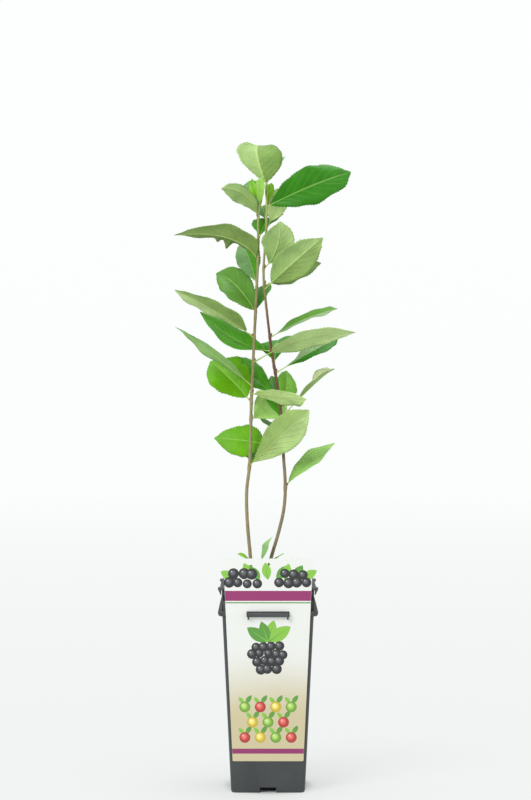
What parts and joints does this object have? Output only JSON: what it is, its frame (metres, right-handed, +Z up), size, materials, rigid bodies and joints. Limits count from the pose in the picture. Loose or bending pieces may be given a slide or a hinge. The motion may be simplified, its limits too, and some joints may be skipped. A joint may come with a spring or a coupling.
{
  "type": "potted nero chokeberry",
  "caption": "Young black chokeberry shrub with slender leafy stems in a deep square nursery pot, with an unlettered picture card hooked on its front.",
  "frame": {"origin": "middle of the pot's flat underside", "axes": "+Z up along the stems, +Y away from the card, +X to the right of someone who looks at the card"},
  "size_m": [0.2024, 0.1335, 0.7287],
  "materials": {
    "pot_plastic": "moulded anthracite polypropylene, satin",
    "potting_soil": "crumbled peat with bark",
    "printed_card": "laminated printed card, soft gloss",
    "bark": "smooth young grey-brown bark with fine pores",
    "leaf": "living leaf, satin above and paler below"
  },
  "bodies": {
    "root": {"pot": "pot_plastic", "soil": "potting_soil", "card": "printed_card", "stem_left": "bark", "stem_right": "bark", "left_low_leaves": "leaf", "left_middle_leaves": "leaf", "left_upper_leaves": "leaf", "left_top_leaves": "leaf", "right_low_leaves": "leaf", "right_middle_leaves": "leaf", "right_upper_leaves": "leaf", "right_top_leaves": "leaf", "basal_shoot": "leaf"}
  },
  "joints": []
}
